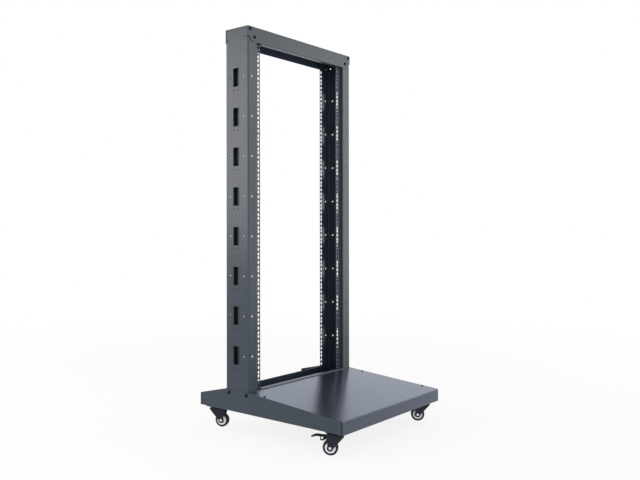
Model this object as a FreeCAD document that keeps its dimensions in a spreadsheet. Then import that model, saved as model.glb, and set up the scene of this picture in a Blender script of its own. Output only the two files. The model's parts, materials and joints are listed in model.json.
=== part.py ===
import FreeCAD, Part
import Sketcher
import os

# Two post open frame rack on a rolling base, 26 rack units tall, in millimetres.
# Z is up from the floor, the front is towards -Y, and X runs across the rack.
# The origin lies on the floor under the middle of the base.

SIZES = [
    ("rack_unit", 44.45, "height of one rack unit"),
    ("unit_count", 26, "rack units between the beams"),
    ("rail_opening", 450, "clear width between the rails"),
    ("rail_edge", 7.55, "edge of a rail to the middle of its column of holes"),
    ("rail_width", 28, "edge of a rail to its step"),
    ("rail_hole", 9.5, "side of a square rail hole"),
    ("rail_hole_first", 6.35, "bottom of a unit to its first hole"),
    ("rail_hole_step", 15.875, "distance between the holes of a unit"),
    ("frame_width", 596, "width over the two posts"),
    ("post_depth", 100, "depth of a post"),
    ("post_sheet", 2, "sheet thickness of a post"),
    ("rail_setback", 11, "step from the face back to the rail"),
    ("bend_inside", 1, "inside radius of every bend"),
    ("bend_straight", 1, "straight sheet from a post's bend to the next flat piece"),
    ("slot_width", 28, "width of a cable slot in the web"),
    ("slot_height", 62, "height of a cable slot in the web"),
    ("slot_units", 3, "rack units from one cable slot to the next"),
    ("slot_first", 2.5, "rack units up to the middle of the lowest slot"),
    ("slot_count", 8, "cable slots in a post"),
    ("slot_shift", 3.5, "middle of a web to the middle of its slots"),
    ("hole_shift", 2, "middle of a web to the middle of its holes"),
    ("side_hole", 6, "diameter of the holes beside a slot"),
    ("side_hole_spread", 60, "distance between the holes beside a slot"),
    ("head_hole_drop", 36.5, "top of the frame down to the holes at the head of a web"),
    ("head_hole_spread", 80, "distance between the holes at the head of a web"),
    ("tie_hole", 5, "diameter of the tie holes under a slot"),
    ("tie_hole_spread", 20, "distance between the tie holes"),
    ("tie_hole_drop", 43, "middle of a slot down to its tie holes"),
    ("face_hole", 7, "diameter of the holes in the faces"),
    ("face_hole_shift", 2, "middle of a face outwards to its holes"),
    ("beam_sheet", 2, "sheet thickness of the beams"),
    ("beam_front", 51, "height of the top beam's front plate"),
    ("beam_back", 46, "height of the top beam's back plate"),
    ("beam_lip", 18, "depth of the lip that stiffens the front plate"),
    ("lip_round", 3, "rounding along the lip's front edge"),
    ("beam_clearance", 3.6, "gap between the rack units and a beam"),
    ("beam_back_clearance", 7.4, "gap between the rack units and the low back plate"),
    ("lip_clearance", 1, "gap between a lip's end and a rail"),
    ("corner_rise", 20, "height cut off at the end of a front plate"),
    ("corner_middle", 16, "end of a front plate to the bend in its cut corner"),
    ("corner_middle_rise", 3.5, "height cut off at that bend"),
    ("corner_run", 52, "length of the cut corner"),
    ("base_depth", 600, "depth of the base"),
    ("rear_overhang", 124, "length of a foot behind the posts"),
    ("foot_sheet", 2, "sheet thickness of a foot"),
    ("foot_end", 42, "height of the base at its front and rear"),
    ("foot_crown", 72.5, "height of the base at the posts"),
    ("foot_flange", 62, "width of a foot's bottom flange"),
    ("foot_top_flange", 20, "width of a foot's top flanges"),
    ("tray_sheet", 2, "sheet thickness of the tray"),
    ("tray_flange", 20, "height of the tray's rear flange"),
    ("tray_gap", 3, "gap between the tray's lip and the feet"),
    ("rail_rise", 79, "bottom of the base up to the lowest rack unit"),
    ("caster_side", 31, "side of the base to a swivel axis"),
    ("caster_front", 42, "front of the base to the front swivel axes"),
    ("caster_rear", 52, "rear of the base to the rear swivel axes"),
    ("plate_side", 56, "side of a caster's square top plate"),
    ("plate_sheet", 2.5, "thickness of a caster's top plate"),
    ("cup_radius", 20, "radius of the bearing cup under the plate"),
    ("cup_height", 5.2, "height of the bearing cup"),
    ("kingpin_radius", 5, "radius of the kingpin's shank"),
    ("kingpin_head", 8, "radius of the kingpin's head"),
    ("kingpin_head_height", 2, "height of the kingpin's head"),
    ("swivel_gap", 0.3, "running gap above and below the fork's crown"),
    ("pin_gap", 0.05, "radial running gap of the kingpin, axle and brake pin"),
    ("fork_sheet", 2, "thickness of a fork's legs"),
    ("crown_sheet", 2.5, "thickness of a fork's crown"),
    ("crown_gap", 14.5, "top of a tyre up to the underside of its fork's crown"),
    ("crown_radius", 22, "radius of a fork's crown"),
    ("fork_gap", 25, "distance between a fork's legs"),
    ("fork_boss", 10, "radius of the leg's end around the axle"),
    ("fork_lead", 22, "swivel axis to a leg's leading edge"),
    ("fork_tail", 32, "swivel axis to a leg's trailing edge"),
    ("fork_tail_drop", 13, "top of a leg down to where its trailing edge turns"),
    ("fork_lead_drop", 4.5, "top of a leg down to where its leading edge turns"),
    ("wheel_radius", 23.5, "radius of a wheel over its tyre"),
    ("wheel_trail", 20, "swivel axis to the axle"),
    ("tyre_width", 20, "width of a tyre"),
    ("tyre_round", 4, "rounding of a tyre's edges"),
    ("rim_radius", 17, "radius of the rim inside the tyre"),
    ("rim_width", 18, "width of the rim"),
    ("hub_radius", 8, "radius of the hub"),
    ("hub_gap", 0.3, "gap between the hub and a leg"),
    ("axle_radius", 4, "radius of an axle"),
    ("axle_cap", 5.4, "radius of an axle's caps"),
    ("axle_cap_height", 3, "height of an axle's caps"),
    ("lever_width", 18, "width of a brake lever"),
    ("lever_sheet", 2.5, "thickness of a brake lever"),
    ("lever_height", 10.2, "top of a tyre up to the underside of its brake lever"),
    ("lever_pin", 2, "radius of a brake lever's pin"),
    ("lever_pivot", 26, "swivel axis to a brake lever's pin"),
    ("lever_inner", 23, "swivel axis to a brake lever's inner end"),
    ("lever_flat", 50, "swivel axis to the end of a brake lever's flat part"),
    ("lever_crest", 60, "swivel axis to the crest of a brake lever's pedal"),
    ("lever_reach", 77, "swivel axis to a brake lever's tip"),
    ("lever_droop", 4, "height that a lever's tip hangs down"),
    ("front_left_yaw", 119, "angle of the front left caster's trail"),
    ("front_right_yaw", 121.5, "angle of the front right caster's trail"),
    ("rear_left_yaw", -67, "angle of the rear left caster's trail"),
    ("rear_right_yaw", -61, "angle of the rear right caster's trail"),
]

# Heights and depths that several pieces share, as expressions of the sizes above.
POST_BACK = "(Sizes.base_depth / 2 - Sizes.rear_overhang)"
POST_FRONT = f"({POST_BACK} - Sizes.post_depth)"
POST_SIDE = "(Sizes.frame_width / 2)"
BASE_SIDE = f"({POST_SIDE} + Sizes.foot_sheet)"
BASE_FRONT = "(-Sizes.base_depth / 2)"
BASE_REAR = "(Sizes.base_depth / 2)"
TYRE_TOP = "(2 * Sizes.wheel_radius)"
CROWN_BOTTOM = f"({TYRE_TOP} + Sizes.crown_gap)"
FORK_TOP = f"({CROWN_BOTTOM} + Sizes.crown_sheet)"
CUP_BOTTOM = f"({FORK_TOP} + Sizes.swivel_gap)"
PLATE_BOTTOM = f"({CUP_BOTTOM} + Sizes.cup_height)"
BASE_BOTTOM = f"({PLATE_BOTTOM} + Sizes.plate_sheet)"
FRAME_BOTTOM = f"({BASE_BOTTOM} + Sizes.foot_sheet)"
UNITS_BOTTOM = f"({BASE_BOTTOM} + Sizes.rail_rise)"
UNITS_TOP = f"({UNITS_BOTTOM} + Sizes.unit_count * Sizes.rack_unit)"
FRAME_TOP = f"({UNITS_TOP} + Sizes.beam_clearance + Sizes.beam_front)"
CROWN_TOP = f"({BASE_BOTTOM} + Sizes.foot_crown)"
END_TOP = f"({BASE_BOTTOM} + Sizes.foot_end)"
POST_FOOT = f"({FRAME_BOTTOM} + Sizes.beam_sheet + Sizes.bend_inside)"
POST_HEAD = f"({FRAME_TOP} - Sizes.beam_sheet - Sizes.bend_inside)"
TRAY_REAR = f"({POST_FRONT} - Sizes.beam_sheet)"
RAIL_STEP = "(Sizes.rail_opening / 2 + Sizes.rail_width)"
POST_BEND = "(Sizes.bend_inside + Sizes.post_sheet)"
FACE_JOIN = f"({POST_BEND} + Sizes.bend_straight)"
RAIL_JOIN = "(Sizes.rail_setback - Sizes.bend_inside - Sizes.bend_straight)"
SLOT_MIDDLE = f"({UNITS_BOTTOM} + Sizes.slot_first * Sizes.rack_unit)"
SLOT_STEP = "(Sizes.slot_units * Sizes.rack_unit)"
FORK_WIDTH = "(Sizes.fork_gap + 2 * Sizes.fork_sheet)"
LEVER_BOTTOM = f"({TYRE_TOP} + Sizes.lever_height)"
LEVER_PIVOT = f"({LEVER_BOTTOM} + Sizes.lever_sheet / 2)"

SPARE = 5.0    # how far a cutting outline runs past the edge that it cuts
NEAR = 0.001    # how close to a line an edge on it lies
LEFT, RIGHT = -1, 1
FRONT, BACK = -1, 1

doc = FreeCAD.newDocument("OpenFrameRack")
sheet = doc.addObject("Spreadsheet::Sheet", "Sizes")
for row, (alias, number, note) in enumerate(SIZES, 1):
    sheet.set(f"A{row}", note)
    sheet.set(f"B{row}", str(number))
    sheet.setAlias(f"B{row}", alias)
doc.recompute()

parts = []


def value(expression):
    return float(sheet.evalExpression(expression))


def new_body(label, solids="1"):
    """Body for one node, with the number of separate solids that it holds."""
    body = doc.addObject("PartDesign::Body", label)
    body.Label = label
    body.AllowCompound = True
    parts.append((body, solids))
    return body


def new_sketch(body, name, role, offset="0"):
    """Empty sketch on one of the body's origin planes, moved along the plane's normal."""
    sketch = body.newObject("Sketcher::SketchObject", f"{body.Name}_{name}")
    support = [plane for plane in body.Origin.OriginFeatures if plane.Role == role][0]
    sketch.AttachmentSupport = (support, [""])
    sketch.MapMode = "FlatFace"
    sketch.setExpression("AttachmentOffset.Base.z", offset)
    return sketch


def fix_point(sketch, geometry, point, x, y):
    """Holds a point of the sketch at two expressions, measured from the sketch's origin."""
    for kind, expression in (("DistanceX", x), ("DistanceY", y)):
        distance = value(expression)
        index = sketch.addConstraint(Sketcher.Constraint(kind, -1, 1, geometry, point, distance))
        sketch.setExpression(f"Constraints[{index}]", expression)


def draw_outline(sketch, points):
    """Closed outline of straight lines through points given as pairs of expressions."""
    corners = [FreeCAD.Vector(value(x), value(y), 0) for x, y in points]
    lines = []
    for start, end in zip(corners, corners[1:] + corners[:1]):
        lines.append(sketch.addGeometry(Part.LineSegment(start, end), False))
    for line, following in zip(lines, lines[1:] + lines[:1]):
        sketch.addConstraint(Sketcher.Constraint("Coincident", line, 2, following, 1))
    for line, (x, y) in zip(lines, points):
        fix_point(sketch, line, 1, x, y)


def draw_rectangle(sketch, x0, y0, x1, y1):
    draw_outline(sketch, [(x0, y0), (x1, y0), (x1, y1), (x0, y1)])


def draw_circle(sketch, x, y, radius):
    centre = FreeCAD.Vector(value(x), value(y), 0)
    circle = sketch.addGeometry(Part.Circle(centre, FreeCAD.Vector(0, 0, 1), value(radius)), False)
    fix_point(sketch, circle, 3, x, y)
    index = sketch.addConstraint(Sketcher.Constraint("Radius", circle, value(radius)))
    sketch.setExpression(f"Constraints[{index}]", radius)


def add_feature(body, sketch, kind, name, length, symmetric, reverse):
    feature = body.newObject(f"PartDesign::{kind}", f"{body.Name}_{name}")
    feature.Profile = sketch
    if length is None:
        feature.Type = "ThroughAll"
    else:
        feature.setExpression("Length", length)
    feature.Midplane = symmetric
    feature.Reversed = reverse
    return feature


def pad(body, sketch, name, length, symmetric=False, reverse=False):
    return add_feature(body, sketch, "Pad", name, length, symmetric, reverse)


def pocket(body, sketch, name, length=None, symmetric=False, reverse=False):
    """Cuts a sketch out of the body, right through it where no length is given."""
    doc.recompute()
    before = body.Shape.Volume
    feature = add_feature(body, sketch, "Pocket", name, length, symmetric, reverse)
    doc.recompute()
    if not body.Shape.Volume < before:
        raise RuntimeError(f"{body.Label}: {name} cuts nothing")
    return feature


def repeat_up(body, feature, sketch, name, step, count):
    """Repeats a feature along the sketch's vertical axis."""
    pattern = body.newObject("PartDesign::LinearPattern", f"{body.Name}_{name}")
    pattern.Originals = [feature]
    pattern.Direction = (sketch, ["V_Axis"])
    pattern.setExpression("Length", f"{step} * ({count} - 1)")
    pattern.setExpression("Occurrences", count)
    body.Tip = pattern
    return pattern


def line_up(x, y):
    """Line along Z, as two points of expressions."""
    return (x, y, "0"), (x, y, "1")


def line_across(y, z):
    """Line along X, as two points of expressions."""
    return ("0", y, z), ("1", y, z)


def round_edges(body, feature, name, lines, radius):
    """Rounds the straight edges of a feature that lie on the given lines."""
    doc.recompute()
    edges = []
    for start, end in lines:
        base = FreeCAD.Vector(*map(value, start))
        along = FreeCAD.Vector(*map(value, end)) - base
        for index, edge in enumerate(feature.Shape.Edges, 1):
            if all(corner.Point.distanceToLine(base, along) < NEAR for corner in edge.Vertexes):
                edges.append(f"Edge{index}")
    fillet = body.newObject("PartDesign::Fillet", f"{body.Name}_{name}")
    fillet.Base = (feature, edges)
    fillet.setExpression("Radius", radius)
    return fillet


def inwards(end, distance):
    """Depth at a distance behind a post's front face, or before its back face."""
    return f"({POST_FRONT} + {distance})" if end == FRONT else f"({POST_BACK} - {distance})"


def across_web(side, shift):
    """Depth at a shift back from the middle of the left web. The right post is the left one turned round."""
    return f"(({POST_FRONT} + {POST_BACK}) / 2 + {-side} * {shift})"


def make_sides(label, side):
    """Two flat strips of a post's outer web, before and behind the cable slots."""
    body = new_body(label, "2")
    slot_line = across_web(side, "Sizes.slot_shift")
    hole_line = across_web(side, "Sizes.hole_shift")
    strips = new_sketch(body, "section", "XY_Plane", POST_FOOT)
    for end in (FRONT, BACK):
        draw_rectangle(strips, f"{side} * {POST_SIDE}", inwards(end, FACE_JOIN),
                       f"{side} * ({POST_SIDE} - Sizes.post_sheet)",
                       f"{slot_line} + {end} * Sizes.slot_width / 2")
    pad(body, strips, "strips", f"{POST_HEAD} - {POST_FOOT}")
    head = new_sketch(body, "head_holes_outline", "YZ_Plane")
    beside = new_sketch(body, "side_holes_outline", "YZ_Plane")
    for end in (FRONT, BACK):
        draw_circle(head, f"{hole_line} + {end} * Sizes.head_hole_spread / 2",
                    f"{FRAME_TOP} - Sizes.head_hole_drop", "Sizes.side_hole / 2")
        draw_circle(beside, f"{hole_line} + {end} * Sizes.side_hole_spread / 2",
                    SLOT_MIDDLE, "Sizes.side_hole / 2")
    pocket(body, head, "head_holes", symmetric=True)
    side_holes = pocket(body, beside, "side_holes", symmetric=True)
    repeat_up(body, side_holes, beside, "all_side_holes", SLOT_STEP, "Sizes.slot_count")


def make_bridges(label, side):
    """Flat pieces of a post's outer web between the cable slots, with two tie holes under each slot."""
    body = new_body(label, "Sizes.slot_count + 1")
    slot_line = across_web(side, "Sizes.slot_shift")
    strip = new_sketch(body, "section", "XY_Plane", POST_FOOT)
    half = "Sizes.slot_width / 2"
    draw_rectangle(strip, f"{side} * {POST_SIDE}", f"{slot_line} - {half}",
                   f"{side} * ({POST_SIDE} - Sizes.post_sheet)", f"{slot_line} + {half}")
    pad(body, strip, "strip", f"{POST_HEAD} - {POST_FOOT}")
    slot = new_sketch(body, "slot_outline", "YZ_Plane")
    draw_rectangle(slot, f"{slot_line} - {half} - {SPARE}", f"{SLOT_MIDDLE} - Sizes.slot_height / 2",
                   f"{slot_line} + {half} + {SPARE}", f"{SLOT_MIDDLE} + Sizes.slot_height / 2")
    for end in (FRONT, BACK):
        draw_circle(slot, f"{slot_line} + {end} * Sizes.tie_hole_spread / 2",
                    f"{SLOT_MIDDLE} - Sizes.tie_hole_drop", "Sizes.tie_hole / 2")
    slots = pocket(body, slot, "slots", symmetric=True)
    repeat_up(body, slots, slot, "all_slots", SLOT_STEP, "Sizes.slot_count")


def make_faces(label, side):
    """Front and back face of a post, with the bends towards the web and the steps."""
    body = new_body(label, "2")
    outer = f"{side} * {POST_SIDE}"
    web = f"{side} * ({POST_SIDE} - Sizes.post_sheet)"
    step = f"{side} * {RAIL_STEP}"
    step_inside = f"{side} * ({RAIL_STEP} + Sizes.post_sheet)"
    section = new_sketch(body, "section", "XY_Plane", POST_FOOT)
    outside, inside = [], []
    for end in (FRONT, BACK):
        face, face_inside = inwards(end, "0"), inwards(end, "Sizes.post_sheet")
        draw_outline(section, [
            (outer, inwards(end, FACE_JOIN)),
            (outer, face),
            (step, face),
            (step, inwards(end, FACE_JOIN)),
            (step_inside, inwards(end, FACE_JOIN)),
            (step_inside, face_inside),
            (web, face_inside),
            (web, inwards(end, FACE_JOIN)),
        ])
        outside += [line_up(outer, face), line_up(step, face)]
        inside += [line_up(web, face_inside), line_up(step_inside, face_inside)]
    plates = pad(body, section, "plates", f"{POST_HEAD} - {POST_FOOT}")
    bends = round_edges(body, plates, "bends_outside", outside, POST_BEND)
    round_edges(body, bends, "bends_inside", inside, "Sizes.bend_inside")
    hole = new_sketch(body, "holes_outline", "XZ_Plane")
    draw_circle(hole, f"{side} * (({POST_SIDE} + {RAIL_STEP}) / 2 + Sizes.face_hole_shift)",
                SLOT_MIDDLE, "Sizes.face_hole / 2")
    holes = pocket(body, hole, "holes", symmetric=True)
    repeat_up(body, holes, hole, "all_holes", SLOT_STEP, "Sizes.slot_count")


def make_steps(label, side):
    """Flat strips between the bends of a post's faces and the bends of its rails."""
    body = new_body(label, "2")
    section = new_sketch(body, "section", "XY_Plane", POST_FOOT)
    for end in (FRONT, BACK):
        draw_rectangle(section, f"{side} * {RAIL_STEP}", inwards(end, FACE_JOIN),
                       f"{side} * ({RAIL_STEP} + Sizes.post_sheet)", inwards(end, RAIL_JOIN))
    pad(body, section, "strips", f"{POST_HEAD} - {POST_FOOT}")


def make_rails(label, side):
    """Front and back rail of a post, with their bends and three square holes in every rack unit."""
    body = new_body(label, "2")
    step = f"{side} * {RAIL_STEP}"
    step_inside = f"{side} * ({RAIL_STEP} + Sizes.post_sheet)"
    edge = f"{side} * Sizes.rail_opening / 2"
    section = new_sketch(body, "section", "XY_Plane", POST_FOOT)
    outside, inside = [], []
    for end in (FRONT, BACK):
        bend = inwards(end, RAIL_JOIN)
        rail = inwards(end, "Sizes.rail_setback")
        rail_inside = inwards(end, "(Sizes.rail_setback + Sizes.post_sheet)")
        draw_outline(section, [
            (step, bend),
            (step, rail),
            (edge, rail),
            (edge, rail_inside),
            (step_inside, rail_inside),
            (step_inside, bend),
        ])
        outside.append(line_up(step_inside, rail_inside))
        inside.append(line_up(step, rail))
    strips = pad(body, section, "strips", f"{POST_HEAD} - {POST_FOOT}")
    bends = round_edges(body, strips, "bends_outside", outside, POST_BEND)
    round_edges(body, bends, "bends_inside", inside, "Sizes.bend_inside")
    unit = new_sketch(body, "unit_holes", "XZ_Plane")
    half = "Sizes.rail_hole / 2"
    column = f"{side} * (Sizes.rail_opening / 2 + Sizes.rail_edge)"
    for hole in range(3):
        height = f"{UNITS_BOTTOM} + Sizes.rail_hole_first + {hole} * Sizes.rail_hole_step"
        draw_rectangle(unit, f"{column} - {half}", f"{height} - {half}",
                       f"{column} + {half}", f"{height} + {half}")
    rail_holes = pocket(body, unit, "rail_holes", symmetric=True)
    repeat_up(body, rail_holes, unit, "all_rail_holes", "Sizes.rack_unit", "Sizes.unit_count")


def make_beam(label, plate, way, front, back):
    """Channel across both posts. Its plates reach from the flat plate in the given way along Z."""
    body = new_body(label)

    def level(distance):
        return f"{plate} + {way} * ({distance})"

    front_outside = f"{POST_FRONT} - Sizes.beam_sheet"
    back_outside = f"{POST_BACK} + Sizes.beam_sheet"
    lip_end = f"{front_outside} + Sizes.beam_lip"
    section = new_sketch(body, "section", "YZ_Plane")
    draw_outline(section, [
        (front_outside, plate),
        (front_outside, level(front)),
        (lip_end, level(front)),
        (lip_end, level(f"{front} - Sizes.beam_sheet")),
        (POST_FRONT, level(f"{front} - Sizes.beam_sheet")),
        (POST_FRONT, level("Sizes.beam_sheet")),
        (POST_BACK, level("Sizes.beam_sheet")),
        (POST_BACK, level(back)),
        (back_outside, level(back)),
        (back_outside, plate),
    ])
    channel = pad(body, section, "channel", "Sizes.frame_width", symmetric=True)
    outside = [line_across(front_outside, plate), line_across(back_outside, plate)]
    inside = [line_across(depth, level("Sizes.beam_sheet")) for depth in (POST_FRONT, POST_BACK)]
    bends = round_edges(body, channel, "bends_outside", outside, "Sizes.bend_inside + Sizes.beam_sheet")
    bends = round_edges(body, bends, "bends_inside", inside, "Sizes.bend_inside")
    round_edges(body, bends, "lip_bend", [line_across(front_outside, level(front))], "Sizes.lip_round")

    # The lip stays between the rails, and the front plate's corners are cut in two slopes.
    lip = new_sketch(body, "lip_ends_outline", "XY_Plane", level(front))
    corners = new_sketch(body, "corners_outline", "XZ_Plane")
    for side in (LEFT, RIGHT):
        draw_rectangle(lip, f"{side} * (Sizes.rail_opening / 2 - Sizes.lip_clearance)", POST_FRONT,
                       f"{side} * ({POST_SIDE} + {SPARE})", f"{lip_end} + {SPARE}")
        draw_outline(corners, [
            (f"{side} * ({POST_SIDE} - Sizes.corner_run)", level(front)),
            (f"{side} * ({POST_SIDE} - Sizes.corner_middle)", level(f"{front} - Sizes.corner_middle_rise")),
            (f"{side} * {POST_SIDE}", level(f"{front} - Sizes.corner_rise")),
            (f"{side} * ({POST_SIDE} + {SPARE})", level(f"{front} - Sizes.corner_rise")),
            (f"{side} * ({POST_SIDE} + {SPARE})", level(f"{front} + {SPARE}")),
            (f"{side} * ({POST_SIDE} - Sizes.corner_run)", level(f"{front} + {SPARE}")),
        ])
    pocket(body, lip, "lip_ends", "Sizes.beam_sheet", reverse=way < 0)
    pocket(body, corners, "corners", POST_FRONT)


def slope_front(depth, drop="0"):
    """Height of the front slope at a depth, less a drop."""
    rise = f"({CROWN_TOP} - {END_TOP}) / ({TRAY_REAR} - {BASE_FRONT})"
    return f"{END_TOP} + ({depth} - {BASE_FRONT}) * {rise} - {drop}"


def make_foot(label, side):
    """Bent plate that carries a post: a web, a wide bottom flange, narrow flanges on the slopes and ends."""
    body = new_body(label)
    front_end = f"({BASE_FRONT} + Sizes.tray_sheet + Sizes.tray_gap)"
    crown_rear = f"({POST_BACK} + Sizes.beam_sheet)"
    outer = f"{side} * {BASE_SIDE}"
    inner = f"{side} * ({BASE_SIDE} - Sizes.foot_sheet)"
    flange = f"{side} * ({BASE_SIDE} - Sizes.foot_top_flange)"
    under_tray = "Sizes.tray_sheet"
    under_flange = "(Sizes.tray_sheet + Sizes.foot_sheet)"
    block = new_sketch(body, "side_outline", "YZ_Plane", outer)
    draw_outline(block, [
        (front_end, BASE_BOTTOM),
        (BASE_REAR, BASE_BOTTOM),
        (BASE_REAR, END_TOP),
        (crown_rear, CROWN_TOP),
        (TRAY_REAR, CROWN_TOP),
        (TRAY_REAR, slope_front(TRAY_REAR, under_tray)),
        (front_end, slope_front(front_end, under_tray)),
    ])
    solid = pad(body, block, "block", "Sizes.foot_flange", reverse=side == RIGHT)
    bends = [((outer, "0", BASE_BOTTOM), (outer, "1", BASE_BOTTOM)), line_up(outer, BASE_REAR)]
    round_edges(body, solid, "bends", bends, "Sizes.bend_inside + Sizes.foot_sheet")

    # Inside of the bends. The crown has no flange, because the post stands there.
    inside = new_sketch(body, "inside_outline", "YZ_Plane", inner)
    front_inside = f"({front_end} + Sizes.foot_sheet)"
    draw_outline(inside, [
        (front_inside, FRAME_BOTTOM),
        (f"{BASE_REAR} - Sizes.foot_sheet", FRAME_BOTTOM),
        (f"{BASE_REAR} - Sizes.foot_sheet", f"{END_TOP} - Sizes.foot_sheet"),
        (crown_rear, f"{CROWN_TOP} - Sizes.foot_sheet"),
        (crown_rear, f"{CROWN_TOP} + {SPARE}"),
        (TRAY_REAR, f"{CROWN_TOP} + {SPARE}"),
        (TRAY_REAR, slope_front(TRAY_REAR, under_flange)),
        (front_inside, slope_front(front_inside, under_flange)),
    ])
    pocket(body, inside, "inside", reverse=side == LEFT)

    narrow = new_sketch(body, "flange_trim", "YZ_Plane", flange)
    draw_rectangle(narrow, f"{front_end} - {SPARE}", FRAME_BOTTOM,
                   f"{BASE_REAR} + {SPARE}", f"{CROWN_TOP} + {SPARE}")
    pocket(body, narrow, "narrow_flanges", reverse=side == LEFT)


def make_tray():
    """Sloping sheet over the feet's front halves, with a front lip and a rear flange."""
    body = new_body("front_tray")
    lip_inside = f"({BASE_FRONT} + Sizes.tray_sheet)"
    flange_inside = f"({TRAY_REAR} - Sizes.tray_sheet)"
    flange_bottom = f"({CROWN_TOP} - Sizes.tray_flange)"
    section = new_sketch(body, "section", "YZ_Plane")
    draw_outline(section, [
        (BASE_FRONT, BASE_BOTTOM),
        (lip_inside, BASE_BOTTOM),
        (lip_inside, slope_front(lip_inside, "Sizes.tray_sheet")),
        (flange_inside, slope_front(flange_inside, "Sizes.tray_sheet")),
        (flange_inside, flange_bottom),
        (TRAY_REAR, flange_bottom),
        (TRAY_REAR, CROWN_TOP),
        (BASE_FRONT, END_TOP),
    ])
    folded = pad(body, section, "sheet", f"2 * {BASE_SIDE}", symmetric=True)
    outside = [line_across(BASE_FRONT, END_TOP), line_across(TRAY_REAR, CROWN_TOP)]
    bent_at = (lip_inside, flange_inside)
    inside = [line_across(depth, slope_front(depth, "Sizes.tray_sheet")) for depth in bent_at]
    bends = round_edges(body, folded, "bends_outside", outside, "Sizes.bend_inside + Sizes.tray_sheet")
    round_edges(body, bends, "bends_inside", inside, "Sizes.bend_inside")

    # The rear flange stays clear of the feet's top flanges.
    ends = new_sketch(body, "flange_ends_outline", "XZ_Plane", f"-{flange_inside}")
    for side in (LEFT, RIGHT):
        draw_rectangle(ends, f"{side} * ({BASE_SIDE} - Sizes.foot_top_flange - Sizes.tray_gap)",
                       f"{flange_bottom} - {SPARE}", f"{side} * ({BASE_SIDE} + {SPARE})",
                       slope_front(flange_inside, "Sizes.tray_sheet"))
    pocket(body, ends, "flange_ends", f"Sizes.tray_sheet + {SPARE}")


def place_caster(body, side, depth, yaw):
    """Moves a caster's piece from its own swivel axis to its place under a foot."""
    body.Placement = FreeCAD.Placement(FreeCAD.Vector(), FreeCAD.Rotation(FreeCAD.Vector(0, 0, 1), 1))
    body.setExpression("Placement.Base.x", f"{side} * ({BASE_SIDE} - Sizes.caster_side)")
    body.setExpression("Placement.Base.y", depth)
    body.setExpression("Placement.Rotation.Angle", f"{yaw} * 1deg")


def make_plate(label):
    """Square top plate with a bearing cup under it."""
    body = new_body(label)
    square = new_sketch(body, "square", "XY_Plane", PLATE_BOTTOM)
    half = "Sizes.plate_side / 2"
    draw_rectangle(square, f"-{half}", f"-{half}", half, half)
    pad(body, square, "plate", "Sizes.plate_sheet")
    cup = new_sketch(body, "cup_outline", "XY_Plane", PLATE_BOTTOM)
    draw_circle(cup, "0", "0", "Sizes.cup_radius")
    pad(body, cup, "cup", "Sizes.cup_height", reverse=True)
    return body


def make_kingpin(label):
    """Rivet on the swivel axis, from the bearing cup to its head under the fork's crown."""
    body = new_body(label)
    head_bottom = f"({CROWN_BOTTOM} - Sizes.swivel_gap - Sizes.kingpin_head_height)"
    head = new_sketch(body, "head_outline", "XY_Plane", head_bottom)
    draw_circle(head, "0", "0", "Sizes.kingpin_head")
    pad(body, head, "head", "Sizes.kingpin_head_height")
    shank = new_sketch(body, "shank_outline", "XY_Plane", head_bottom)
    draw_circle(shank, "0", "0", "Sizes.kingpin_radius")
    pad(body, shank, "shank", f"{CUP_BOTTOM} - {head_bottom}")
    return body


def make_fork(label, braked):
    """Two legs bent down from a round crown, with a round end about the axle."""
    body = new_body(label)
    tail_turn = f"{FORK_TOP} - Sizes.fork_tail_drop"
    lead_turn = f"{FORK_TOP} - Sizes.fork_lead_drop"
    boss_front = "Sizes.wheel_trail - Sizes.fork_boss"
    shoulder = "Sizes.fork_boss / sqrt(2)"
    legs = new_sketch(body, "leg_outline", "XZ_Plane")
    draw_outline(legs, [
        ("-Sizes.fork_lead", FORK_TOP),
        ("Sizes.fork_tail", FORK_TOP),
        ("Sizes.fork_tail", tail_turn),
        (f"Sizes.wheel_trail + {shoulder}", f"Sizes.wheel_radius + {shoulder}"),
        (boss_front, "Sizes.wheel_radius"),
        ("-Sizes.fork_lead", lead_turn),
    ])
    pad(body, legs, "legs", FORK_WIDTH, symmetric=True)
    boss = new_sketch(body, "boss_outline", "XZ_Plane")
    draw_circle(boss, "Sizes.wheel_trail", "Sizes.wheel_radius", "Sizes.fork_boss")
    pad(body, boss, "boss", FORK_WIDTH, symmetric=True)
    gap = new_sketch(body, "gap_outline", "XZ_Plane")
    draw_rectangle(gap, f"-Sizes.fork_lead - {SPARE}", f"-{SPARE}",
                   f"Sizes.fork_tail + {SPARE}", CROWN_BOTTOM)
    pocket(body, gap, "gap", "Sizes.fork_gap", symmetric=True)
    crown = new_sketch(body, "crown_outline", "XY_Plane", CROWN_BOTTOM)
    draw_circle(crown, "0", "0", "Sizes.crown_radius")
    pad(body, crown, "crown", "Sizes.crown_sheet")
    kingpin = new_sketch(body, "kingpin_outline", "XY_Plane")
    draw_circle(kingpin, "0", "0", "Sizes.kingpin_radius + Sizes.pin_gap")
    pocket(body, kingpin, "kingpin_hole", reverse=True)
    bores = new_sketch(body, "bore_outline", "XZ_Plane")
    draw_circle(bores, "Sizes.wheel_trail", "Sizes.wheel_radius", "Sizes.axle_radius")
    if braked:
        draw_circle(bores, "Sizes.lever_pivot", LEVER_PIVOT, "Sizes.lever_pin + Sizes.pin_gap")
    pocket(body, bores, "bores", symmetric=True)
    return body


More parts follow.
